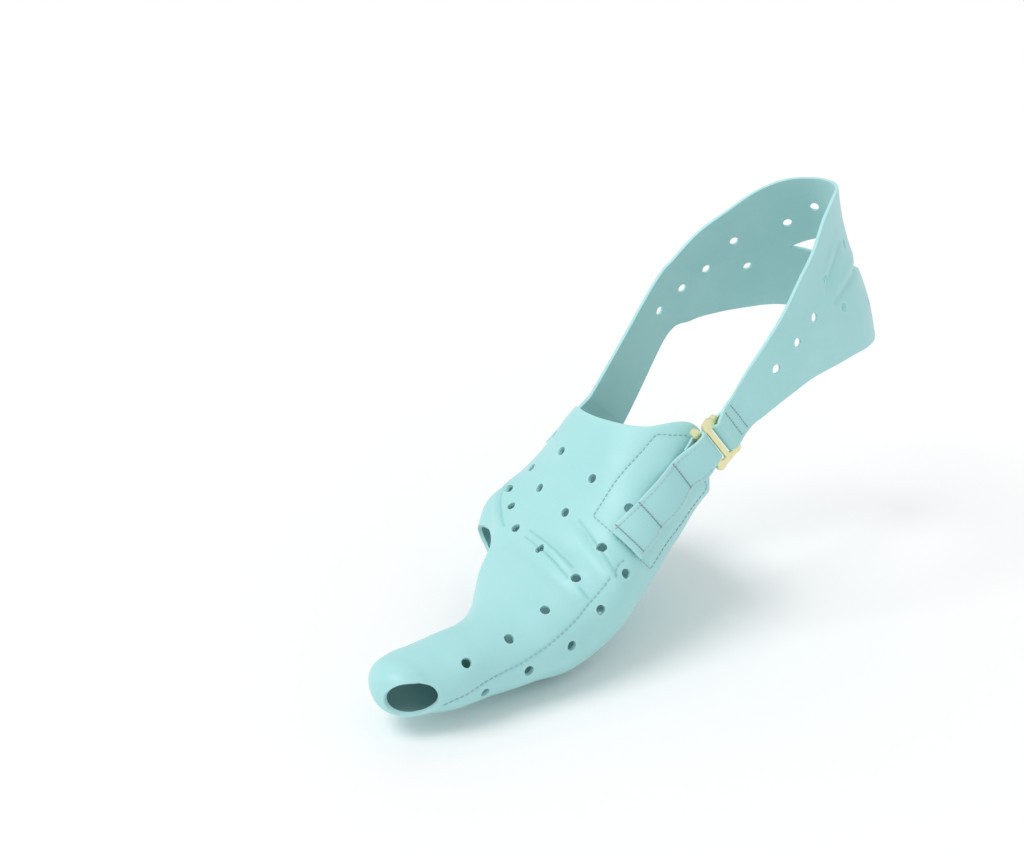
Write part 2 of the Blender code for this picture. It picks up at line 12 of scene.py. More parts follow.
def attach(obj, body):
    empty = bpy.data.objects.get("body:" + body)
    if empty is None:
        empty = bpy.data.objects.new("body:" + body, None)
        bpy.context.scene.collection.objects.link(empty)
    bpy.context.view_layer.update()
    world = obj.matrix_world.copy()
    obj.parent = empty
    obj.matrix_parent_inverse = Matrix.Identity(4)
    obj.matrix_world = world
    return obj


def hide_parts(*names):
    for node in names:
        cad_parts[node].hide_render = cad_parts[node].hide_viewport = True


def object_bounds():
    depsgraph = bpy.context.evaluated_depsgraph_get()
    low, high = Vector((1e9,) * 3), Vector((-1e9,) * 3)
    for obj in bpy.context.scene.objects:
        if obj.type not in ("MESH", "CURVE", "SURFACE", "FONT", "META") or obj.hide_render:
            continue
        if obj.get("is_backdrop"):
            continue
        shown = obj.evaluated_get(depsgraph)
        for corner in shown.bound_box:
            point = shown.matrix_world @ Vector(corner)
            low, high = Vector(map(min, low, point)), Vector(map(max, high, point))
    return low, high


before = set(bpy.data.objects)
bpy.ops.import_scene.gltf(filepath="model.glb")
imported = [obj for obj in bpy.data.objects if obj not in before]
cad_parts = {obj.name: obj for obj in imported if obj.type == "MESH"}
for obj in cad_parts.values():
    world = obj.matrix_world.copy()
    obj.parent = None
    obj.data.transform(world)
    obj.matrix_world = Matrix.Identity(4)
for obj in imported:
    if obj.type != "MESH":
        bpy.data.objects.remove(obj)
CAD_BOX = [list(map(float, corner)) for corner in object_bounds()]

bl_info = {
    "name": "Leather Toe Brace",
    "version": (1, 0, 0),
    "blender": (4, 5, 0),
    "location": "3D View > Sidebar > Brace",
    "description": "Builds a soft leather brace with a toe sleeve, a hook clasp and a heel strap",
    "category": "Object",
}

# Sizes of the brace in metres, with angles in degrees
GAP = 0.0003
SLEEVE_REACH = 0.1225
SLEEVE_DROP = 0.0465
SLEEVE_LENGTH = 0.1400
BALL_WIDTH = 0.0890
INSTEP_HEIGHT = 0.0540
TOE_WIDTH = 0.0280
TOE_HEIGHT = 0.0260
TOE_SIDE = 0.0300
TOE_OPENING_WIDTH = 0.0165
TOE_OPENING_HEIGHT = 0.0118
TOE_OPENING_TURN = 50.0
# Middle of the opening in the toe's tip: aside in TOE_SIDE, forward in SLEEVE_REACH and down in SLEEVE_DROP
TOE_OPENING = (1.235, 0.955, 0.815)

LADDER_LENGTH = 0.0450
# Where the ladder strap's loops start and where its low end is sewn, in shares of LADDER_LENGTH
LOOP_STARTS = (0.0, 0.289, 0.693, 1.0)
LOW_SEAM = 0.955
LADDER_PUFF = 0.0014
LADDER_LIFT = 0.0017
LADDER_FREE = 0.0060

HOOK_LENGTH = 0.0172
HOOK_LIFT = 0.0042
PRONG_SHIFT = 0.0018
PRONG_PITCH = 0.0043
SLOT_PITCH = 0.0045
STRAP_PLAY = 0.0006
CLASP_BLEND = 0.00022

HEEL_BACK = 0.1020
HEEL_WIDTH = 0.0660
HEEL_RISE = 0.0863
TAIL_LENGTH = 0.0100
TAIL_PITCH = 0.0016
STRAP_FLARE = 0.0021
SLIT_LENGTH = 0.0330
SLIT_WIDTH = 0.0110
HEEL_BULGE = 0.0016

# Sections of the sleeve from the heel side to the toe's tip, in shares of the sizes above, and degrees
SECTION_COLUMNS = (
    "kind", "along", "forward", "drop", "side", "half", "top", "under", "tilt", "turn", "lean")
SECTIONS = (
    ("wrap", 0.00, -0.18, -0.26, 0.00, 0.30, 0.52, 0.41, 28, 0, 0.00),
    ("wrap", 0.13, -0.03, -0.03, 0.00, 0.325, 0.475, 0.395, 30, 0, 0.00),
    ("wrap", 0.24, 0.10, 0.19, 0.015, 0.362, 0.395, 0.375, 30, 0, 0.08),
    ("wrap", 0.35, 0.21, 0.39, 0.025, 0.405, 0.31, 0.335, 27, 0, 0.20),
    ("wrap", 0.44, 0.31, 0.56, 0.030, 0.450, 0.255, 0.34, 22, 0, 0.27),
    ("wrap", 0.53, 0.41, 0.68, 0.100, 0.395, 0.255, 0.355, 16, 0, 0.20),
    ("wrap", 0.61, 0.51, 0.75, 0.195, 0.305, 0.25, 0.325, 10, 0, 0.10),
    ("toe", 0.70, 0.61, 0.80, 0.86, 0.625, 0.47, 0.50, 6, 0, 0.00),
    ("toe", 0.79, 0.71, 0.81, 0.965, 0.465, 0.435, 0.42, 4, 0, 0.00),
    ("toe", 0.88, 0.81, 0.815, 0.99, 0.44, 0.415, 0.40, 3, 0, 0.00),
    ("toe", 0.92, 0.857, 0.81, 0.96, 0.43, 0.37, 0.40, 1, 5, 0.00),
    ("toe", 0.95, 0.917, 0.805, 0.93, 0.42, 0.325, 0.375, 0, 15, 0.00),
    ("toe", 0.975, 0.958, 0.805, 1.01, 0.365, 0.29, 0.32, 0, 30, 0.00),
    ("toe", 0.99, 0.975, 0.81, 1.13, 0.245, 0.21, 0.22, 0, 42, 0.00),
    ("toe", 1.00, 0.977, 0.815, 1.215, 0.075, 0.075, 0.075, 0, 50, 0.00),
)
ROUNDNESS = 2.2

# Edges of the sleeve: the rear one by angle, and the front one by shares of BALL_WIDTH to the side.
REAR_COLUMNS = ("around", "along")
REAR_EDGE = (
    (0, 0.095), (15, 0.072), (35, 0.070), (60, 0.140), (90, 0.175), (135, 0.168), (180, 0.135), (270, 0.100))
FRONT_COLUMNS = ("side", "over", "under")
FRONT_EDGE = (
    (-0.44, 0.425, 0.350),
    (-0.30, 0.415, 0.36),
    (-0.20, 0.422, 0.39),
    (-0.10, 0.460, 0.435),
    (0.00, 0.540, 0.52),
    (0.10, 0.665, 0.64),
    (0.14, 0.79, 0.79),
    (0.18, 1.10, 1.10),
)

# Ranks of punched holes in the sleeve: the rank's share of the length, and the angles round the section. From the
# first angle below the ranks bend towards the heel, by RANK_BEND at the second.
RANKS = (
    (0.292, (39.5, 75.5, 107, 136.5, 218, 255, 290, 326)),
    (0.402, (16, 44.5)),
    (0.390, (80, 106, 133, 160, 190, 220, 250, 284, 322)),
    (0.459, (132,)),
    (0.475, (117,)),
    (0.500, (13.5, 48, 81, 103.5, 262, 296, 332)),
    (0.596, (2, 306)),
    (0.611, (50,)),
    (0.713, (-2,)),
    (0.734, (51,)),
    (0.828, (-19,)),
    (0.862, (44,)),
)
RANK_BEND = 0.045
RANK_BEND_ANGLES = (80, 122)

# Soft folds and sharp creases of the wrap: an angle and a share of the length at each end, and the height and
# width in walls. A crease is a fine valley with a low ridge along its toe side.
FOLD_COLUMNS = ("start_around", "start_along", "end_around", "end_along", "height", "width")
FOLDS = (
    (95, 0.490, 40, 0.515, 0.50, 1.6),
    (94, 0.470, 54, 0.487, 0.40, 1.4),
    (70, 0.388, 21, 0.428, 0.45, 1.5),
    (142, 0.380, 114, 0.520, 1.00, 2.0),
    (100, 0.330, 78, 0.372, 0.25, 2.2),
    (60, 0.560, 20, 0.552, 0.25, 2.4),
)
CREASES = (
    (93.5, 0.493, 52.5, 0.513, 0.34, 0.42),
    (92.8, 0.473, 54.5, 0.486, 0.28, 0.38),
    (40.8, 0.511, 30.0, 0.509, 0.22, 0.40),
    (69.0, 0.388, 24.0, 0.423, 0.30, 0.40),
    (143.0, 0.385, 113.5, 0.500, 0.45, 0.60),
)

# Slow waves in the soft leather: how many there are in a metre each way, and their height.
RIPPLE_COLUMNS = ("x", "y", "z", "start", "height")
RIPPLES = (
    (31, 18, 22, 0.0, 0.00016),
    (-24, 43, 12, 1.7, 0.00012),
    (12, -29, 47, 3.1, 0.00012),
    (52, 37, -33, 4.4, 0.00006),
)

# Middle line of the ladder strap on the sleeve: an angle and a share of the length at each end
LADDER_HOOK_END = (14.4, 0.085)
LADDER_LOW_END = (29.0, 0.362)
LADDER_SAG = 3.0
HOOK_TURN = 2.0

# Bars of the hook clasp and the wider corners of its plate, in pitches along the strap and half lengths across.
PRONG_TIP = 1.25
BAR_COLUMNS = ("start_along", "start_across", "end_along", "end_across", "width")
BARS = (
    (-1.0, -1.0, -1.0, PRONG_TIP, 0.90),
    (-1.0, -1.0, 1.0, -1.0, 0.96),
    (0.0, -1.0, 0.0, 1.0, 0.90),
    (1.0, -1.0, 1.0, 1.0, 0.90),
    (0.0, 1.0, 1.0, 1.0, 0.96),
)
CORNERS = (
    (-1.0, -0.96, -0.9, -0.96, 1.45),
    (1.0, -0.97, 0.9, -0.97, 1.40),
    (0.10, 0.97, 0.40, 1.00, 1.70),
    (-1.0, 1.20, -1.0, PRONG_TIP, 1.45),
)

# Edges of the heel strap from the clasp to the middle of the heel, in HEEL_BACK, HEEL_WIDTH / 2 and HEEL_RISE
STRAP_COLUMNS = ("low_back", "low_side", "low_up", "high_back", "high_side", "high_up")
STRAP_ROWS = (
    (0.275, 0.98, 0.235, 0.205, 0.92, 0.430),
    (0.370, 1.00, 0.290, 0.288, 0.94, 0.555),
    (0.485, 0.99, 0.338, 0.368, 0.91, 0.660),
    (0.595, 0.94, 0.353, 0.450, 0.83, 0.760),
    (0.705, 0.865, 0.359, 0.540, 0.71, 0.845),
    (0.825, 0.76, 0.355, 0.628, 0.55, 0.935),
    (0.925, 0.55, 0.342, 0.715, 0.38, 0.985),
    (0.985, 0.29, 0.334, 0.794, 0.20, 0.997),
    (1.000, 0.00, 0.331, 0.819, 0.00, 1.000),
)
# The row at which these start, after the fold round the clasp. Its holes: a row from there and a share of the
# way up.
STRAP_START = 11
STRAP_HOLES = (
    (1.0, 0.52), (2.0, 0.54), (3.0, 0.57), (4.1, 0.70), (4.4, 0.40), (5.9, 0.69), (6.1, 0.25), (7.0, 0.80))
# Edges of the strap's end on the sleeve
LANDING_COLUMNS = ("low_around", "low_along", "high_around", "high_along")
LANDING = ((202, 0.085, 160, 0.120), (200, 0.155, 161, 0.185), (198, 0.225, 163, 0.250))
# Creases of the heel strap: the row and the share of the way up at each end, and the height and width in walls.
# The first ones also get painted shade in the leather's colour.
STRAP_CREASE_COLUMNS = ("start_row", "start_up", "end_row", "end_up", "height", "width")
SHADE_PAINTED_CREASES = 2
STRAP_CREASES = (
    (6.5, 0.50, 4.1, 0.49, 0.55, 1.6),
    (5.6, 0.73, 4.0, 0.67, 0.34, 1.5),
    (1.3, 0.25, 0.2, 0.55, 0.25, 1.5),
    (3.6, 0.20, 2.5, 0.42, 0.20, 1.8),
)

# Stitched lines on the sleeve, through angles and shares of the length
PATCH_LEFT = ((50.5, 0.139), (52.5, 0.180), (56.0, 0.225), (58.8, 0.270), (60.2, 0.318), (61.5, 0.361))
PATCH_TOP = ((-5.0, 0.118), (12.0, 0.100), (29.5, 0.092), (40.5, 0.117), (50.5, 0.139))
PATCH_FOOT = ((61.5, 0.361), (44.0, 0.363), (28.0, 0.362), (12.8, 0.358), (-6.0, 0.345))
PATCH_RIGHT = (
    (-5.0, 0.118), (-17.0, 0.122), (-17.5, 0.138), (-14.0, 0.188), (-12.0, 0.235), (-8.5, 0.283), (-6.0, 0.345))
TOE_SEAM = (
    (-19.0, 0.935), (-12.0, 0.921), (-7.0, 0.893), (0.8, 0.846), (5.0, 0.798), (9.5, 0.752), (15.0, 0.705),
    (18.0, 0.657), (20.5, 0.615), (23.0, 0.568), (26.0, 0.526), (26.8, 0.480), (27.0, 0.436))
HOLE_ARC = ((23.5, 0.385), (26.3, 0.400), (26.5, 0.416), (22.2, 0.426))
SLEEVE_SEAMS = (PATCH_LEFT, PATCH_TOP, PATCH_FOOT, PATCH_RIGHT, TOE_SEAM, HOLE_ARC)
# Rows of the heel strap's seams beside the clasp, and how many rows from its far end the square of seams lies
CLASP_SEAMS = (8.75, 9.45)
LANDING_SEAMS = (0.12, 0.90)
THREAD_SINK = 0.00010
SEAM_DEPTH = 0.00012

# How far wear, the painted shade in creases and along seams, and the seams' grooves reach to each side in the
# leather
WEAR_WIDTH = 0.0006
CREASE_SHADE_WIDTH = 0.0005
STRAP_CREASE_SHADE_WIDTH = 0.0010
SEAM_WIDTH = 0.0007

# Fineness of the meshes: faces each way, the finer rims of holes and creases, and steps along lines
SLEEVE_GRID = (230, 150)
LADDER_GRID = (18, 170)
HOOK_GRID = (70, 106)
STRAP_GRID = (54, 330)
HOLE_RIM = 0.0012
CREASE_RIM = 0.0015
TIP_CROWD = 0.6
ROW_REST = 0.0010
LOOP_STEPS, RISE_STEPS = 60, 23
SNAP = 0.00001

# The floor, and the camera with the directions of the picture's right and up
FLOOR_SIZE = 4.0
FLOOR_GAP = 0.0006
CAMERA_PLACE = (0.4188, -0.3360, 0.2715)
CAMERA_RIGHT = (0.559, 0.829, 0.0)
CAMERA_UP = (-0.363, 0.245, 0.899)
CAMERA_LENS = 59.4
# The direction towards the main light
LIGHT_WAY = (-0.16, -0.58, 0.95)


def colour_of(name, description, default):
    return FloatVectorProperty(
        name=name, description=description, default=default, subtype="COLOR", size=3, min=0, max=1)


def length_of(name, description, default):
    return FloatProperty(name=name, description=description, default=default, unit="LENGTH")


class BraceLeather(bpy.types.PropertyGroup):
    colour: colour_of("Leather", "Colour of the leather's face", (0.405, 0.740, 0.742))
    # The shade colour gives the leather's deeper random tone and the painted shade in its creases and along its
    # seams.
    shade: colour_of("Shade", "Colour in the leather's creases and pores", (0.235, 0.560, 0.565))
    lining: colour_of("Lining", "Colour of the napped inner side", (0.455, 0.700, 0.690))
    cut_edge: colour_of("Cut edge", "Colour of the leather's cut edges", (0.450, 0.760, 0.760))
    sleeve_wall: length_of("Sleeve wall", "Thickness of the sleeve's leather", 0.0015)
    strap_wall: length_of("Strap wall", "Thickness of the straps' leather", 0.0012)
    hole_width: length_of("Hole width", "Diameter of the punched holes", 0.0034)
    grain: length_of("Grain", "Size of the leather's pebbles", 0.0007)


class BraceStitching(bpy.types.PropertyGroup):
    colour: colour_of("Thread", "Colour of the seam thread", (0.370, 0.560, 0.575))
    bar_colour: colour_of("Strap thread", "Colour of the thread of the ladder strap", (0.560, 0.640, 0.660))
    dark_colour: colour_of("Bar thread", "Colour of the thread across the straps", (0.270, 0.370, 0.395))
    width: length_of("Thread width", "Thickness of the thread", 0.00042)
    pitch: length_of("Stitch pitch", "From one stitch to the next", 0.0019)


class BraceClasp(bpy.types.PropertyGroup):
    colour: colour_of("Metal", "Colour of the clasp's metal", (0.920, 0.890, 0.530))
    bar: length_of("Bar", "Width of the clasp's bars", 0.0021)
    plate: length_of("Plate", "Thickness of the plate", 0.0014)


class BraceStage(bpy.types.PropertyGroup):
    floor: colour_of("Floor", "Colour of the floor", (0.975, 0.975, 0.975))
    sky: FloatProperty(name="Sky", description="Strength of the light from all round", default=0.72, min=0)
    sun: FloatProperty(name="Main light", description="Strength of the soft main light", default=1.25, min=0)
    spread: FloatProperty(
        name="Softness", description="Angle that the main light fills", default=radians(32), subtype="ANGLE")


def column(rows, columns, name):
    return np.array([row[columns.index(name)] for row in rows], dtype=float)


def smooth(at, stations, values):
    """A smooth curve through the values at the stations, read at the places asked for."""
    slopes = np.gradient(values, stations, axis=0)
    at = np.clip(at, stations[0], stations[-1])
    low = np.clip(np.searchsorted(stations, at, side="right") - 1, 0, len(stations) - 2)
    span = stations[low + 1] - stations[low]
    t = (at - stations[low]) / span
    if values.ndim > 1:
        span, t = span[..., None], t[..., None]
    start, end = values[low], values[low + 1]
    return (
        start * (1 + 2 * t) * (1 - t) ** 2
        + end * t * t * (3 - 2 * t)
        + slopes[low] * span * t * (1 - t) ** 2
        - slopes[low + 1] * span * t * t * (1 - t)
    )


def smooth_round(degrees, stations, values):
    wide = np.concatenate((stations[-2:] - 360, stations, stations[:2] + 360))
    around = np.concatenate((values[-2:], values, values[:2]))
    return smooth(np.mod(degrees, 360), wide, around)


def unit(vectors):
    return vectors / np.linalg.norm(vectors, axis=-1, keepdims=True)


def travelled(points):
    """Length along a line of points up to each of them."""
    return np.concatenate(([0], np.cumsum(np.linalg.norm(np.diff(points, axis=0), axis=-1))))


def ease(share):
    """A share from 0 to 1 that leaves and arrives slowly, as a column."""
    share = np.clip(share, 0, 1)
    return (share ** 2 * (3 - 2 * share))[:, None]


def fade(distance, width):
    return np.exp(-((distance / width) ** 2))


def section_sizes():
    units = {
        "wrap": dict(side=BALL_WIDTH, half=BALL_WIDTH, top=INSTEP_HEIGHT, under=INSTEP_HEIGHT),
        "toe": dict(side=TOE_SIDE, half=TOE_WIDTH, top=TOE_HEIGHT, under=TOE_HEIGHT),
    }
    common = {"forward": SLEEVE_REACH, "drop": SLEEVE_DROP, "tilt": radians(1), "turn": radians(1)}
    table = {}
    for name in SECTION_COLUMNS[1:]:
        scale = [{**common, **units[row[0]]}.get(name, 1) for row in SECTIONS]
        table[name] = column(SECTIONS, SECTION_COLUMNS, name) * scale
    return table


SECTION = section_sizes()


def section(name, along):
    return smooth(along, SECTION["along"], SECTION[name])


def sleeve_point(around, along):
    """Middle of the sleeve's wall, at an angle round the section in degrees and a share of the length."""
    angle = np.radians(around)
    wide = np.sign(np.cos(angle)) * np.abs(np.cos(angle)) ** (2 / ROUNDNESS) * section("half", along)
    high = np.sign(np.sin(angle)) * np.abs(np.sin(angle)) ** (2 / ROUNDNESS)
    high = high * np.where(high > 0, section("top", along), section("under", along))
    high = high * (1 + section("lean", along) * np.cos(angle))
    tilt, turn = section("tilt", along), section("turn", along)
    x = section("side", along) + wide * np.cos(turn) + high * np.sin(tilt) * np.sin(turn)
    y = -section("forward", along) + wide * np.sin(turn) - high * np.sin(tilt) * np.cos(turn)
    z = -section("drop", along) + high * np.cos(tilt)
    return np.stack((x, y, z), axis=-1)


def sleeve_frame(around, along):
    """Point, direction round, direction towards the toe and outward direction on the sleeve."""
    turn, step = 0.5, 0.002
    point = sleeve_point(around, along)
    round_way = sleeve_point(around + turn, along) - sleeve_point(around - turn, along)
    toe_way = sleeve_point(around, along + step) - sleeve_point(around, along - step)
    return point, unit(round_way), unit(toe_way), unit(np.cross(round_way, toe_way))


def rear_edge(around):
    angles = column(REAR_EDGE, REAR_COLUMNS, "around")
    return smooth_round(around, angles, column(REAR_EDGE, REAR_COLUMNS, "along"))


def past_front_edge(points, around):
    """How far points of the sleeve lie past the front edge."""
    side = points[..., 0] / BALL_WIDTH
    stations = column(FRONT_EDGE, FRONT_COLUMNS, "side")
    over = smooth(side, stations, column(FRONT_EDGE, FRONT_COLUMNS, "over"))
    under = smooth(side, stations, column(FRONT_EDGE, FRONT_COLUMNS, "under"))
    edge = under + (over - under) * (1 + np.sin(np.radians(around))) / 2
    return -points[..., 1] - edge * SLEEVE_REACH


def in_toe_opening(points):
    """How far points of the sleeve lie inside the oval opening in the toe's tip."""
    side, forward, drop = TOE_OPENING
    middle = np.array([side * TOE_SIDE, -forward * SLEEVE_REACH, -drop * SLEEVE_DROP])
    turn = radians(TOE_OPENING_TURN)
    wide = (points - middle) @ np.array([np.cos(turn), np.sin(turn), 0]) / (TOE_OPENING_WIDTH / 2)
    high = (points - middle)[..., 2] / (TOE_OPENING_HEIGHT / 2)
    ahead = (points - middle) @ np.array([np.sin(turn), -np.cos(turn), 0])
    inside = (1 - np.hypot(wide, high)) * TOE_OPENING_HEIGHT / 2
    return np.where(ahead > -TOE_OPENING_HEIGHT / 2, inside, -TOE_OPENING_HEIGHT)


def sleeve_place(flat):
    around = flat[:, 0] * 360
    rear = rear_edge(around)
    pace = flat[:, 1] * (1 + TIP_CROWD * (1 - flat[:, 1]))
    return around, rear + pace * (1 - rear)


def sleeve_holes():
    start, full = RANK_BEND_ANGLES
    around = np.concatenate([np.array(angles, dtype=float) for _, angles in RANKS])
    along = np.concatenate([np.full(len(angles), share) for share, angles in RANKS])
    bend = np.clip((around - start) / (full - start), 0, 1.1)
    return around, along - RANK_BEND * bend ** 2


def nearest(points, line):
    """For each point, the number of the nearest point of a line and the distance to it."""
    tree = KDTree(len(line))
    for number, point in enumerate(line):
        tree.insert(point, number)
    tree.balance()
    found = [tree.find(point)[1:] for point in points]
    return np.array([number for number, _ in found]), np.array([distance for _, distance in found])


def distance_to(points, line):
    return nearest(points, line)[1]


def crease_line(row):
    fold = dict(zip(FOLD_COLUMNS, row))
    t = np.linspace(0, 1, 60)
    around = fold["start_around"] + t * (fold["end_around"] - fold["start_around"])
    along = fold["start_along"] + t * (fold["end_along"] - fold["start_along"])
    return fold, t, around, along


def line_relief(points, line, toe_way, t, height, width, valley_share):
    """A ridge along a line that fades at its ends, with a valley on the far side."""
    number, distance = nearest(points, line)
    side = np.sign(((points - line[number]) * toe_way[number]).sum(axis=-1))
    ends = np.sin(pi * np.clip(t[number], 0.04, 0.96)) ** 0.5
    valley = fade(side * distance - 1.8 * width, width)
    return height * ends * (fade(distance, width) - valley_share * valley)


def ripple(points, closeness=1.0):
    """Height of the slow waves in the leather."""
    heights = np.zeros(len(points))
    for row in RIPPLES:
        wave = dict(zip(RIPPLE_COLUMNS, row))
        phase = 2 * pi * closeness * (points @ np.array([wave["x"], wave["y"], wave["z"]])) + wave["start"]
        heights += wave["height"] * np.sin(phase)
    return heights


def sleeve_relief(points, wall):
    """Height of the folds, creases and slow waves over the smooth sleeve."""
    heights = ripple(points)
    for table, valley_share, sign in ((FOLDS, 0.6, 1), (CREASES, 0.9, -1)):
        for row in table:
            fold, t, around, along = crease_line(row)
            line, _, toe_way, _ = sleeve_frame(around, along)
            heights += line_relief(
                points, line, toe_way, t, sign * fold["height"] * wall, fold["width"] * wall, valley_share)
    return heights


def sleeve_surface(around, along, wall):
    point, _, _, outward = sleeve_frame(around, along)
    return point + outward * sleeve_relief(point, wall)[:, None], outward


def ladder_place(share):
    """Angle and share of the sleeve's length, for a share of the way down the ladder strap."""
    around = LADDER_HOOK_END[0] + share * (LADDER_LOW_END[0] - LADDER_HOOK_END[0])
    around = around - 4 * LADDER_SAG * share * (1 - share)
    return around, LADDER_HOOK_END[1] + share * (LADDER_LOW_END[1] - LADDER_HOOK_END[1])


def ladder_line():
    share = np.linspace(-0.1, 1.4, 61)
    around, along = ladder_place(share)
    reach = travelled(sleeve_point(around, along))
    return reach - np.interp(0, share, reach), around, along


def hook_frame():
    """Middle of the clasp, the direction towards the heel, across the strap and outward."""
    around, along = ladder_place(-PRONG_PITCH / LADDER_LENGTH)
    point, _, toe_way, outward = sleeve_frame(np.array([around]), np.array([along]))
    toe_way, outward = toe_way[0], outward[0]
    across = np.cross(outward, -toe_way)
    turn = radians(HOOK_TURN)
    heel_way = -toe_way * np.cos(turn) + across * np.sin(turn)
    return point[0] + outward * HOOK_LIFT, heel_way, unit(np.cross(outward, heel_way)), outward


def strap_sizes(context):
    """Width of both straps, radius of their folds round a bar and their height over the sleeve."""
    leather, clasp = context.scene.brace_leather, context.scene.brace_clasp
    width = HOOK_LENGTH - 2 * clasp.bar - 2 * STRAP_PLAY
    radius = np.hypot(clasp.bar, clasp.plate) / 2 + GAP + leather.strap_wall / 2
    seat = leather.sleeve_wall / 2 + GAP + leather.strap_wall / 2
    return width, radius, seat


def ladder_profile(radius, seat):
    """Reach from the prong and height over the sleeve, from the low end up, round the prong and back under."""
    top = HOOK_LIFT + radius
    under = HOOK_LIFT - radius
    starts = LADDER_LENGTH * np.array(LOOP_STARTS)
    bar = starts[1]
    reach = np.linspace(LADDER_LENGTH, bar, LOOP_STEPS)
    loops = seat + LADDER_PUFF * np.abs(np.sin(pi * np.interp(reach, starts, range(len(starts))))) ** 1.3
    free = np.clip((reach - LADDER_LENGTH) / LADDER_FREE + 1, 0, 1)
    loops = loops + (LADDER_LIFT + LADDER_PUFF * 0.4) * free ** 1.5
    first = np.linspace(bar, 0, RISE_STEPS + 1)[1:]
    rise = seat + (top - seat) * (1 + np.cos(pi * first / bar)) / 2
    rise = rise + 0.5 * LADDER_PUFF * np.sin(pi * first / bar) ** 2
    turn = np.radians(np.linspace(90, 270, 13)[1:-1])
    back = np.array([0, 0.25, 0.5]) * bar
    closed = np.interp(0.5 * bar, first[::-1], rise[::-1]) - TAIL_PITCH
    return np.concatenate((
        np.stack((reach, loops), axis=-1),
        np.stack((first, rise), axis=-1),
        np.stack((radius * np.cos(turn), HOOK_LIFT + radius * np.sin(turn)), axis=-1),
        np.stack((back, under + (closed - under) * back / (0.5 * bar)), axis=-1),
    ))


def ladder_surface(context, across, share, lift=0.0):
    """Middle of the ladder strap: across its width from -1 to 1, and a share of its profile."""
    width, radius, seat = strap_sizes(context)
    profile = ladder_profile(radius, seat)
    stations = travelled(profile)
    reach, height = smooth(share * stations[-1], stations, profile).T
    slope = np.gradient(profile, axis=0)
    normal = smooth(share * stations[-1], stations, unit(np.stack((slope[:, 1], -slope[:, 0]), axis=-1)))
    reach, height = reach + lift * normal[:, 0], height + lift * normal[:, 1]
    line_reach, line_around, line_along = ladder_line()
    around = np.interp(reach, line_reach, line_around)
    along = np.interp(reach, line_reach, line_along)
    degree = np.linalg.norm(sleeve_point(around + 1, along) - sleeve_point(around, along), axis=-1)
    around = around + across * width / 2 / degree
    point, _, _, outward = sleeve_frame(around, along)
    on_sleeve = point + outward * height[:, None]

    middle, heel_way, hook_across, outward = hook_frame()
    in_clasp = (
        middle - heel_way * (PRONG_PITCH + reach[:, None])
        + hook_across * (PRONG_SHIFT + across * width / 2)[:, None]
        + outward * (height - HOOK_LIFT)[:, None]
    )
    return in_clasp + (on_sleeve - in_clasp) * ease(reach / (0.7 * LADDER_LENGTH * LOOP_STARTS[1]))


def strap_rows(context):
    """Low and high edges of the heel strap, a pair of points for each row, from its tail to its landing."""
    width, radius, seat = strap_sizes(context)
    wall = context.scene.brace_leather.strap_wall
    middle, heel_way, across, outward = hook_frame()
    middle = middle + heel_way * SLOT_PITCH
    turn = np.radians(np.linspace(270, 90, 7))
    rows = [(TAIL_LENGTH, -0.66 * wall, 0), (TAIL_LENGTH / 2, -0.40 * radius, 0)]
    rows += [(radius * np.cos(angle), radius * np.sin(angle), 0) for angle in turn]
    rows[-1] = (0, radius, 0.3)
    rows += [(TAIL_LENGTH / 2, 0.40 * radius, 0.75), (TAIL_LENGTH, 0.66 * wall, 1)]
    edges = []
    for reach, lift, flare in rows:
        edge = middle + heel_way * reach + outward * lift
        half = width / 2 * across
        edges.append((edge - half, edge + half + flare * STRAP_FLARE * across))

    scale = np.array([HEEL_WIDTH / 2, HEEL_BACK, HEEL_RISE])
    table = []
    for row in STRAP_ROWS:
        place = dict(zip(STRAP_COLUMNS, row))
        table.append([
            scale * [place[edge + way] for way in ("_side", "_back", "_up")] for edge in ("low", "high")
        ])
    mirrored = [[edge * (-1, 1, 1) for edge in row] for row in reversed(table[1:-1])]
    landing = []
    for row in LANDING:
        place = dict(zip(LANDING_COLUMNS, row))
        pair = []
        for edge in ("low", "high"):
            point, _, _, outward = sleeve_frame(
                np.array([float(place[edge + "_around"])]), np.array([place[edge + "_along"]]))
            pair.append(point[0] + outward[0] * seat)
        landing.append(pair)
    return np.array([*edges, *table, *mirrored, *landing])


def landed_surface(count, up, at, seat):
    """Where the heel strap lies on the wrap, for places in the rows of the landing."""
    at = at - (count - len(LANDING))
    stations = np.arange(len(LANDING), dtype=float)
    sleeve_at = []
    for name in ("_around", "_along"):
        low = smooth(at, stations, column(LANDING, LANDING_COLUMNS, "low" + name))
        high = smooth(at, stations, column(LANDING, LANDING_COLUMNS, "high" + name))
        sleeve_at.append(low + (high - low) * up)
    point, _, _, outward = sleeve_frame(*sleeve_at)
    return point + outward * (seat + GAP)


def strap_surface(context, up, at):
    """Middle of the heel strap: a share of the way up, and a place counted in rows."""
    rows = strap_rows(context)
    stations = np.arange(len(rows), dtype=float)
    low = smooth(at, stations, rows[:, 0])
    high = smooth(at, stations, rows[:, 1])
    point = low + (high - low) * up[:, None]
    behind = np.clip(point[:, 1] / HEEL_BACK, 0, 1) ** 2
    outward = unit(np.stack((point[:, 0], point[:, 1] - 0.6 * HEEL_BACK, np.zeros(len(point))), axis=-1))
    point = point + outward * (HEEL_BULGE * behind * np.sin(2 * pi * up))[:, None]
    landed = landed_surface(len(rows), up, at, strap_sizes(context)[2])
    return point + (landed - point) * ease(at - (len(rows) - len(LANDING)) + 1)


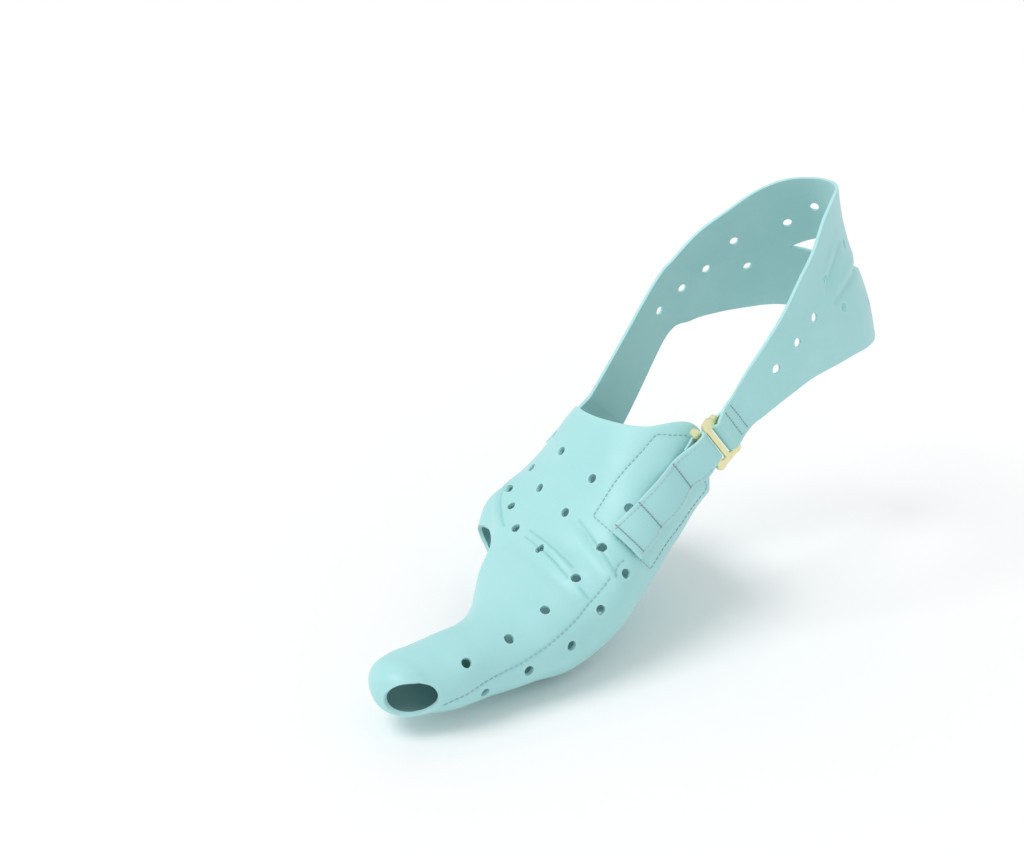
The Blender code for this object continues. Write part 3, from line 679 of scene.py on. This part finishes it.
def strap_frame(context, up, at):
    """Point, direction along and outward direction on the heel strap."""
    point = strap_surface(context, up, at)
    long_way = strap_surface(context, up, at + 0.02) - strap_surface(context, up, at - 0.02)
    up_way = strap_surface(context, up + 0.01, at) - strap_surface(context, up - 0.01, at)
    return point, unit(long_way), unit(np.cross(long_way, up_way))


def strap_crease(context, row):
    crease = dict(zip(STRAP_CREASE_COLUMNS, row))
    t = np.linspace(0, 1, 50)
    at = STRAP_START + crease["start_row"] + t * (crease["end_row"] - crease["start_row"])
    up = crease["start_up"] + t * (crease["end_up"] - crease["start_up"])
    line, _, outward = strap_frame(context, up, at)
    return crease, t, line, unit(np.cross(np.gradient(line, axis=0), outward))


def strap_relief(context, points):
    """Height of the creases and slow waves over the smooth heel strap."""
    wall = context.scene.brace_leather.strap_wall
    heights = 0.9 * ripple(points, 0.8)
    for row in STRAP_CREASES:
        crease, t, line, side_way = strap_crease(context, row)
        heights += line_relief(
            points, line, side_way, t, -crease["height"] * wall, crease["width"] * wall, 0.7)
    return heights


def strap_pace(context, share):
    """Rows of the heel strap for shares of its pattern, so that the pattern's rows lie evenly."""
    middle = strap_rows(context).mean(axis=1)
    numbers = np.arange(len(middle))
    stations = travelled(middle) + ROW_REST * numbers
    return np.interp(share * stations[-1], stations, numbers)


def flat_pattern(columns, rows):
    """A flat sheet one unit wide and one long, ready to be cut and then shaped."""
    mesh = bmesh.new()
    bmesh.ops.create_grid(mesh, x_segments=columns, y_segments=rows, size=0.5)
    bmesh.ops.translate(mesh, verts=mesh.verts, vec=(0.5, 0.5, 0))
    return mesh


def corners(mesh):
    return np.array([vert.co for vert in mesh.verts])


def refine(mesh, chosen):
    """Splits the faces of a pattern finer round the chosen corners."""
    near = {vert for vert, yes in zip(mesh.verts, chosen) if yes}
    edges = {edge for vert in near for face in vert.link_faces for edge in face.edges}
    bmesh.ops.subdivide_edges(mesh, edges=list(edges), cuts=1, use_grid_fill=True)


def cut_away(mesh, outside):
    """Cuts a flat pattern along the line where the value at its corners is zero, and drops what is above."""
    for vert, height in zip(mesh.verts, outside):
        vert.co.z = height
    geometry = [*mesh.verts, *mesh.edges, *mesh.faces]
    bmesh.ops.bisect_plane(
        mesh, geom=geometry, dist=SNAP, plane_co=(0, 0, 0), plane_no=(0, 0, 1), clear_outer=True)


def shape(mesh, points):
    for vert, point in zip(mesh.verts, points):
        vert.co = point


def mark(mesh, name, values):
    """Keeps a value at each corner, which the leather's shader reads by name."""
    layer = mesh.verts.layers.float.new(name)
    for vert, value in zip(mesh.verts, values):
        vert[layer] = float(value)


def new_object(name, mesh, *materials):
    data = bpy.data.meshes.new(name)
    mesh.to_mesh(data)
    mesh.free()
    data.shade_smooth()
    thing = bpy.data.objects.new(name, data)
    for material in materials:
        data.materials.append(material)
    bpy.context.collection.objects.link(thing)
    return thing


def give_wall(thing, thickness, round_edge, segments=2):
    wall = thing.modifiers.new("wall", "SOLIDIFY")
    wall.thickness = thickness
    wall.offset = 0
    wall.use_even_offset = True
    if len(thing.data.materials) > 2:
        wall.material_offset = 1
        wall.material_offset_rim = 2
    edge = thing.modifiers.new("round_edge", "BEVEL")
    edge.width = round_edge
    edge.segments = segments
    edge.limit_method = "ANGLE"
    edge.angle_limit = radians(50)
    edge.profile = 0.5


class Value:
    """A shader socket that can be used in Python sums."""

    def __init__(self, shader, socket):
        self.shader, self.socket = shader, socket

    def sum(self, operation, first, second):
        return self.shader.node("ShaderNodeMath", {"operation": operation}, {0: first, 1: second})[0]

    def __add__(self, other):
        return self.sum("ADD", self, other)

    __radd__ = __add__

    def __sub__(self, other):
        return self.sum("SUBTRACT", self, other)

    def __rsub__(self, other):
        return self.sum("SUBTRACT", other, self)

    def __mul__(self, other):
        return self.sum("MULTIPLY", self, other)

    __rmul__ = __mul__

    def clamp(self):
        return self.shader.node(
            "ShaderNodeMath", {"operation": "ADD", "use_clamp": True}, {0: self, 1: 0.0})[0]


class Shader:
    """A material's node tree with the Principled surface as its main node."""

    def __init__(self, name, roughness=0.5, metallic=0.0):
        self.material = bpy.data.materials.new(name)
        self.material.use_nodes = True
        self.tree = self.material.node_tree
        self.surface = self.tree.nodes["Principled BSDF"]
        self.surface.inputs["Roughness"].default_value = roughness
        self.surface.inputs["Metallic"].default_value = metallic

    def put(self, socket, value):
        if isinstance(value, Value):
            self.tree.links.new(value.socket, socket)
        else:
            socket.default_value = value

    def node(self, kind, settings, sockets):
        node = self.tree.nodes.new(kind)
        for name, value in settings.items():
            setattr(node, name, value)
        for name, value in sockets.items():
            self.put(node.inputs[name], value)
        return [Value(self, output) for output in node.outputs]

    def coordinates(self):
        return self.node("ShaderNodeTexCoord", {}, {})[3]

    def noise(self, size, detail):
        sockets = {"Vector": self.coordinates(), "Scale": 1 / size, "Detail": detail}
        return self.node("ShaderNodeTexNoise", {}, sockets)[0]

    def pebbles(self, size):
        sockets = {"Vector": self.coordinates(), "Scale": 1 / size}
        return self.node("ShaderNodeTexVoronoi", {"feature": "SMOOTH_F1"}, sockets)[0]

    def attribute(self, name):
        return self.node("ShaderNodeAttribute", {"attribute_name": name}, {})[2]

    def mix(self, share, first, second):
        sockets = {0: share, 6: first, 7: second}
        return self.node("ShaderNodeMix", {"data_type": "RGBA", "clamp_factor": True}, sockets)[2]

    def bump(self, height, distance, strength, normal=None):
        sockets = {"Height": height, "Distance": distance, "Strength": strength}
        if normal:
            sockets["Normal"] = normal
        return self.node("ShaderNodeBump", {}, sockets)[0]

    def finish(self, **sockets):
        for name, value in sockets.items():
            self.put(self.surface.inputs[name.replace("_", " ")], value)
        return self.material


def opaque(colour):
    return (*colour, 1.0)


def leather_face(context):
    """Dyed leather: fine pebbles, slow changes of tone, paler where it is worn, and painted shade in its creases
    and along its seams.
    """
    leather = context.scene.brace_leather
    shader = Shader("mint_leather_face")
    tone = shader.noise(0.030, 3.0)
    blotch = shader.noise(0.006, 2.0)
    pores = shader.pebbles(leather.grain)
    fine = shader.noise(leather.grain * 0.6, 3.0)
    crease = shader.attribute("crease")
    wear = shader.attribute("wear")
    colour = shader.mix(tone * 0.26 + blotch * 0.10 - 0.06, opaque(leather.colour), opaque(leather.shade))
    # Painted shade: the crease attribute darkens the colour towards the shade colour in creases and along seams.
    colour = shader.mix((crease * 0.80).clamp(), colour, opaque(leather.shade))
    colour = shader.mix((wear * 0.50).clamp(), colour, opaque(leather.cut_edge))
    normal = shader.bump(pores * 0.6 + fine * 0.7, 0.00007, 0.55)
    normal = shader.bump(shader.noise(0.0042, 3.0), 0.00045, 0.30, normal)
    rough = 0.36 + blotch * 0.12 + pores * 0.06 + crease * 0.12
    shader.surface.inputs["Sheen Weight"].default_value = 0.12
    shader.surface.inputs["Sheen Roughness"].default_value = 0.4
    return shader.finish(Base_Color=colour, Roughness=rough, Normal=normal)


def leather_lining(context):
    leather = context.scene.brace_leather
    shader = Shader("mint_lining_nap", roughness=0.9)
    nap = shader.noise(0.0006, 4.0)
    colour = shader.mix(0.15 + shader.noise(0.012, 3.0) * 0.35 + nap * 0.15, opaque(leather.lining),
                        opaque(leather.shade))
    shader.surface.inputs["Sheen Weight"].default_value = 0.35
    return shader.finish(Base_Color=colour, Normal=shader.bump(nap, 0.00012, 0.7))


def leather_edge(context):
    leather = context.scene.brace_leather
    shader = Shader("mint_cut_edge", roughness=0.7)
    fibres = shader.noise(0.0004, 3.0)
    colour = shader.mix(fibres * 0.5, opaque(leather.cut_edge), opaque(leather.colour))
    return shader.finish(Base_Color=colour, Normal=shader.bump(fibres, 0.00010, 0.6))


def thread_finish(name, colour):
    shader = Shader(name, roughness=0.55)
    twist = shader.noise(0.00035, 2.0)
    dark = tuple(0.6 * part for part in colour)
    shader.surface.inputs["Sheen Weight"].default_value = 0.2
    colour = shader.mix(twist * 0.7, opaque(colour), opaque(dark))
    return shader.finish(Base_Color=colour, Normal=shader.bump(twist, 0.00012, 0.8))


def clasp_finish(context):
    """Pale gold plate with a soft polish."""
    colour = context.scene.brace_clasp.colour
    shader = Shader("pale_gold_plate", metallic=0.70)
    cloud = shader.noise(0.0035, 3.0)
    scratches = shader.noise(0.0005, 4.0)
    deep = tuple(0.82 * part for part in colour)
    return shader.finish(
        Base_Color=shader.mix(cloud * 0.5, opaque(colour), opaque(deep)),
        Roughness=0.26 + cloud * 0.14 + scratches * 0.08,
        Normal=shader.bump(scratches, 0.00002, 0.5),
    )


def leather_set(context):
    """The three finishes of every leather piece: its face, its inner side and its cut edge."""
    made = bpy.data.materials.get("mint_leather_face")
    if made:
        return made, bpy.data.materials["mint_lining_nap"], bpy.data.materials["mint_cut_edge"]
    return leather_face(context), leather_lining(context), leather_edge(context)


def stitch_run(mesh, points, outward, pitch, width, length_share=0.74, tilt=0.0):
    """Lays a row of short thread stitches along a line on a surface."""
    reach = travelled(points)
    count = max(2, int(round(reach[-1] / pitch)))
    places = (np.arange(count) + 0.5) / count * reach[-1]
    for place in places:
        ends = [
            np.array([np.interp(place + half * pitch / 2, reach, points[:, axis]) for axis in range(3)])
            for half in (-1, 1)
        ]
        up = unit(np.array([np.interp(place, reach, outward[:, axis]) for axis in range(3)]))
        along = unit(ends[1] - ends[0])
        side = unit(np.cross(up, along))
        along = unit(along + tilt * side)
        side = unit(np.cross(up, along))
        middle = (ends[0] + ends[1]) / 2 + up * width * 0.18
        matrix = Matrix.Identity(4)
        for number, way in enumerate((
            along * pitch * length_share / 2, side * width / 2, np.cross(along, side) * width / 2, middle
        )):
            for axis in range(3):
                matrix[axis][number] = way[axis]
        bmesh.ops.create_uvsphere(mesh, u_segments=8, v_segments=6, radius=1, matrix=matrix)


def sleeve_path(nodes):
    """A smooth line on the sleeve through angles and shares of the length, at roughly even steps."""
    nodes = np.array(nodes, dtype=float)
    reach = travelled(nodes * (0.45, 145))
    return smooth(np.linspace(0, reach[-1], 240), reach, nodes).T


class BRACE_OT_sleeve(bpy.types.Operator):
    """Cuts the sleeve's leather pattern, punches its holes and forms it with its folds and creases"""

    bl_idname = "brace.sleeve"
    bl_label = "Toe sleeve"

    def execute(self, context):
        leather = context.scene.brace_leather
        wall, hole = leather.sleeve_wall, leather.hole_width / 2
        mesh = flat_pattern(*SLEEVE_GRID)
        centres = sleeve_point(*sleeve_holes())
        creases = np.concatenate([sleeve_point(*crease_line(row)[2:]) for row in CREASES])
        seams = np.concatenate([sleeve_point(*sleeve_path(nodes)) for nodes in SLEEVE_SEAMS])

        def outside(points, around):
            cuts = past_front_edge(points, around), in_toe_opening(points), hole - distance_to(points, centres)
            return np.max(cuts, axis=0)

        points = sleeve_point(*sleeve_place(corners(mesh)))
        near_hole = distance_to(points, centres) < hole + HOLE_RIM
        refine(mesh, near_hole | (distance_to(points, creases) < CREASE_RIM))
        around, along = sleeve_place(corners(mesh))
        cut_away(mesh, outside(sleeve_point(around, along), around))

        flat = corners(mesh)
        around, along = sleeve_place(flat)
        points = sleeve_point(around, along)
        rim = np.minimum(-outside(points, around), flat[:, 1] * SLEEVE_LENGTH)
        seam = fade(distance_to(points, seams), SEAM_WIDTH)
        mark(mesh, "wear", fade(rim, WEAR_WIDTH))
        # The crease attribute holds painted shade for the creases and, weaker, along the seams.
        mark(mesh, "crease", np.clip(fade(distance_to(points, creases), CREASE_SHADE_WIDTH) + 0.30 * seam, 0, 1))
        surface, outward = sleeve_surface(around, along, wall)
        shape(mesh, surface - outward * (SEAM_DEPTH * seam)[:, None])
        bmesh.ops.remove_doubles(mesh, verts=mesh.verts, dist=SNAP)
        sleeve = new_object("sleeve_leather", mesh, *leather_set(context))
        give_wall(sleeve, wall, 0.00028)
        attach(sleeve, "root")
        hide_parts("sleeve")
        return {"FINISHED"}


class BRACE_OT_ladder_strap(bpy.types.Operator):
    """Forms the ladder strap with its loops, its fold round the clasp's prong and its free low end"""

    bl_idname = "brace.ladder_strap"
    bl_label = "Ladder strap"

    def execute(self, context):
        mesh = flat_pattern(*LADDER_GRID)
        flat = corners(mesh)
        across, share = flat[:, 0] * 2 - 1, flat[:, 1]
        shape(mesh, ladder_surface(context, across, share))
        mark(mesh, "wear", fade(1 - np.abs(across), 0.10))
        mark(mesh, "crease", np.zeros(len(flat)))
        bmesh.ops.reverse_faces(mesh, faces=mesh.faces)
        strap = new_object("ladder_leather", mesh, *leather_set(context))
        give_wall(strap, context.scene.brace_leather.strap_wall, 0.00025)
        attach(strap, "root")
        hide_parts("ladder_strap")
        return {"FINISHED"}


class BRACE_OT_hook_clasp(bpy.types.Operator):
    """Stamps the hook clasp's plate with its prong, its slot and its rounded corners"""

    bl_idname = "brace.hook_clasp"
    bl_label = "Hook clasp"

    def execute(self, context):
        clasp = context.scene.brace_clasp
        mesh = flat_pattern(*HOOK_GRID)
        low = np.array([-PRONG_PITCH - clasp.bar, -HOOK_LENGTH / 2 - clasp.bar / 2])
        high = np.array([SLOT_PITCH + clasp.bar, PRONG_TIP * HOOK_LENGTH / 2 + clasp.bar / 2])
        place = low + corners(mesh)[:, :2] * (high - low)
        half = (HOOK_LENGTH - clasp.bar) / 2
        total = np.zeros(len(place))
        for row in BARS + CORNERS:
            bar = dict(zip(BAR_COLUMNS, row))
            start, end = (
                np.array([
                    bar[name + "_along"] * (PRONG_PITCH if bar[name + "_along"] < 0 else SLOT_PITCH),
                    bar[name + "_across"] * half,
                ])
                for name in ("start", "end")
            )
            way = end - start
            t = np.clip((place - start) @ way / (way @ way), 0, 1)
            away = np.linalg.norm(place - start - t[:, None] * way, axis=-1) - bar["width"] * clasp.bar / 2
            total += np.exp(-np.clip(away, -0.004, 0.004) / CLASP_BLEND)
        cut_away(mesh, -CLASP_BLEND * np.log(total))
        place = low + corners(mesh)[:, :2] * (high - low)
        middle, heel_way, across, _ = hook_frame()
        shape(mesh, middle + place[:, :1] * heel_way + place[:, 1:] * across)
        bmesh.ops.reverse_faces(mesh, faces=mesh.faces)
        plate = new_object("clasp_plate", mesh, clasp_finish(context))
        give_wall(plate, clasp.plate, 0.00042, 4)
        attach(plate, "root")
        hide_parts("hook_clasp")
        return {"FINISHED"}


class BRACE_OT_heel_strap(bpy.types.Operator):
    """Cuts the heel strap with its slit and holes, and forms it from the clasp round the heel to the wrap"""

    bl_idname = "brace.heel_strap"
    bl_label = "Heel strap"

    def execute(self, context):
        leather = context.scene.brace_leather
        wall, hole = leather.strap_wall, leather.hole_width / 2
        far = 2 * (len(STRAP_ROWS) - 1)
        at, up = np.array(STRAP_HOLES).T
        centres = strap_surface(context, np.concatenate((up, up)), STRAP_START + np.concatenate((at, far - at)))
        mesh = flat_pattern(*STRAP_GRID)

        def surface(flat):
            return strap_surface(context, flat[:, 0], strap_pace(context, flat[:, 1]))

        def outside(flat, points):
            open_share = 1 - (points[:, 0] / (SLIT_LENGTH / 2)) ** 2
            height = HEEL_RISE * (1 - STRAP_ROWS[-1][STRAP_COLUMNS.index("low_up")])
            slit = SLIT_WIDTH / 2 * open_share - np.abs(flat[:, 0] - 0.5) * height
            slit = np.where(points[:, 1] > HEEL_BACK / 2, slit, -1)
            return np.maximum(slit, hole - distance_to(points, centres))

        refine(mesh, distance_to(surface(corners(mesh)), centres) < hole + HOLE_RIM)
        flat = corners(mesh)
        cut_away(mesh, outside(flat, surface(flat)))
        flat = corners(mesh)
        at = strap_pace(context, flat[:, 1])
        points, _, outward = strap_frame(context, flat[:, 0], at)
        low_edge = flat * (0, 1, 1)
        wide = np.linalg.norm(surface(low_edge) - surface(low_edge + (1, 0, 0)), axis=-1)
        rim = np.minimum(np.minimum(flat[:, 0], 1 - flat[:, 0]) * wide, -outside(flat, points))
        mark(mesh, "wear", fade(rim, WEAR_WIDTH))
        # Painted shade along the heel strap's first creases, held in the crease attribute.
        creases = np.concatenate([strap_crease(context, row)[2] for row in STRAP_CREASES[:SHADE_PAINTED_CREASES]])
        mark(mesh, "crease", 0.4 * fade(distance_to(points, creases), STRAP_CREASE_SHADE_WIDTH))
        settled = np.clip((at - STRAP_START) / 2, 0, 1) * np.clip((STRAP_START + far - at) / 2, 0, 1)
        shape(mesh, points + outward * (settled * strap_relief(context, points))[:, None])
        bmesh.ops.reverse_faces(mesh, faces=mesh.faces)
        strap = new_object("heel_leather", mesh, *leather_set(context))
        give_wall(strap, wall, 0.00025)
        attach(strap, "root")
        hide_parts("heel_strap")
        return {"FINISHED"}


class BRACE_OT_stitching(bpy.types.Operator):
    """Sews the patch and the toe seam, the ladder strap's edges and bars, and the heel strap's ends"""

    bl_idname = "brace.stitching"
    bl_label = "Stitching"

    def execute(self, context):
        leather, thread = context.scene.brace_leather, context.scene.brace_stitching
        mesh = bmesh.new()
        for nodes in SLEEVE_SEAMS:
            surface, outward = sleeve_surface(*sleeve_path(nodes), leather.sleeve_wall)
            line = surface + outward * (leather.sleeve_wall / 2 - THREAD_SINK)
            stitch_run(mesh, line, outward, thread.pitch, thread.width)
        self.sew("sleeve_stitches", mesh, thread_finish("seam_thread", thread.colour))

        def on_ladder(across, share, *size):
            line = ladder_surface(context, across, share, leather.strap_wall / 2)
            stitch_run(mesh, line, line - ladder_surface(context, across, share), *size)

        mesh = bmesh.new()
        for side in (-0.80, 0.80):
            share = np.linspace(0.015, 0.715, 300)
            on_ladder(np.full(300, side), share, thread.pitch * 0.9, thread.width * 0.9)
        self.sew("ladder_stitches", mesh, thread_finish("strap_thread", thread.bar_colour))

        mesh = bmesh.new()
        profile = ladder_profile(*strap_sizes(context)[1:])
        reach = travelled(profile)
        for start in (*LOOP_STARTS[1:3], LOW_SEAM):
            number = np.abs(profile[:LOOP_STEPS + RISE_STEPS, 0] - start * LADDER_LENGTH).argmin()
            across = np.linspace(-0.86, 0.96, 40)
            share = reach[number] / reach[-1] + 0.004 * across ** 2
            on_ladder(across, share, thread.pitch * 0.55, thread.width * 1.25, 0.95, 0.12)
        end = STRAP_START + 2 * (len(STRAP_ROWS) - 1) + 2
        last, first = (end - back for back in LANDING_SEAMS)
        seams = [((0.08, 0.94), (at, at), 0.6, 0.85) for at in CLASP_SEAMS]
        seams += [((0.06, 0.94), (at, at), 1.0, 0.74) for at in (last, first)]
        seams += [((up, up), (first, last), 1.0, 0.74) for up in (0.06, 0.94)]
        for up, at, pitch, length_share in seams:
            point, _, outward = strap_frame(context, np.linspace(*up, 40), np.linspace(*at, 40))
            line = point + outward * leather.strap_wall / 2
            stitch_run(mesh, line, outward, thread.pitch * pitch, thread.width, length_share)
        self.sew("bar_stitches", mesh, thread_finish("bar_thread", thread.dark_colour))
        return {"FINISHED"}

    def sew(self, name, mesh, material):
        thread = new_object(name, mesh, material)
        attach(thread, "root")


class BRACE_OT_stage(bpy.types.Operator):
    """Lays the pale floor and sets the sky, the main light and the camera"""

    bl_idname = "brace.stage"
    bl_label = "Floor, light and camera"

    def execute(self, context):
        stage = context.scene.brace_stage
        lowest = min(CAD_BOX[0][2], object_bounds()[0][2])
        mesh = bmesh.new()
        bmesh.ops.create_grid(mesh, x_segments=2, y_segments=2, size=FLOOR_SIZE)
        bmesh.ops.translate(mesh, verts=mesh.verts, vec=(0, 0, lowest - FLOOR_GAP))
        shader = Shader("pale_floor", roughness=0.85)
        cloud = shader.noise(0.35, 2.0)
        dim = tuple(0.985 * part for part in stage.floor)
        floor = new_object("floor", mesh, shader.finish(
            Base_Color=shader.mix(cloud, opaque(stage.floor), opaque(dim))))
        floor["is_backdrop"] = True

        world = bpy.data.worlds.new("soft_sky")
        world.use_nodes = True
        sky = world.node_tree.nodes["Background"]
        sky.inputs["Color"].default_value = (0.985, 0.990, 1.0, 1.0)
        sky.inputs["Strength"].default_value = stage.sky
        context.scene.world = world

        right, up = Vector(CAMERA_RIGHT), Vector(CAMERA_UP)
        back = right.cross(up).normalized()
        data = bpy.data.lights.new("main_light", "SUN")
        data.energy, data.angle = stage.sun, stage.spread
        lamp = bpy.data.objects.new("main_light", data)
        lamp.matrix_world = Vector(LIGHT_WAY).to_track_quat("Z", "Y").to_matrix().to_4x4()
        bpy.context.collection.objects.link(lamp)

        lens = bpy.data.cameras.new("photo_camera")
        lens.lens = CAMERA_LENS
        lens.sensor_width = 36.0
        lens.clip_start = 0.01
        lens.clip_end = 50.0
        camera = bpy.data.objects.new("photo_camera", lens)
        turn = Matrix((right, up, back)).transposed().to_4x4()
        camera.matrix_world = Matrix.Translation(CAMERA_PLACE) @ turn
        bpy.context.collection.objects.link(camera)
        context.scene.camera = camera
        context.scene.view_settings.view_transform = "Standard"
        return {"FINISHED"}


class BRACE_PT_panel(bpy.types.Panel):
    """Sizes, colours and pieces of the brace"""

    bl_idname = "BRACE_PT_panel"
    bl_label = "Leather toe brace"
    bl_space_type = "VIEW_3D"
    bl_region_type = "UI"
    bl_category = "Brace"

    def draw(self, context):
        for group, _ in GROUPS:
            box = self.layout.box()
            settings = getattr(context.scene, group)
            for name in settings.__annotations__:
                box.prop(settings, name)
        for operator in OPERATORS:
            self.layout.operator(operator.bl_idname)


GROUPS = (
    ("brace_leather", BraceLeather),
    ("brace_stitching", BraceStitching),
    ("brace_clasp", BraceClasp),
    ("brace_stage", BraceStage),
)
OPERATORS = (
    BRACE_OT_sleeve,
    BRACE_OT_ladder_strap,
    BRACE_OT_hook_clasp,
    BRACE_OT_heel_strap,
    BRACE_OT_stitching,
    BRACE_OT_stage,
)


def register():
    for name, group in GROUPS:
        bpy.utils.register_class(group)
        setattr(bpy.types.Scene, name, PointerProperty(type=group))
    for part in (*OPERATORS, BRACE_PT_panel):
        bpy.utils.register_class(part)


def unregister():
    for part in (BRACE_PT_panel, *reversed(OPERATORS)):
        bpy.utils.unregister_class(part)
    for name, group in reversed(GROUPS):
        delattr(bpy.types.Scene, name)
        bpy.utils.unregister_class(group)


def main():
    register()
    bpy.ops.brace.sleeve()
    bpy.ops.brace.ladder_strap()
    bpy.ops.brace.hook_clasp()
    bpy.ops.brace.heel_strap()
    bpy.ops.brace.stitching()
    bpy.ops.brace.stage()


if __name__ == "__main__":
    main()
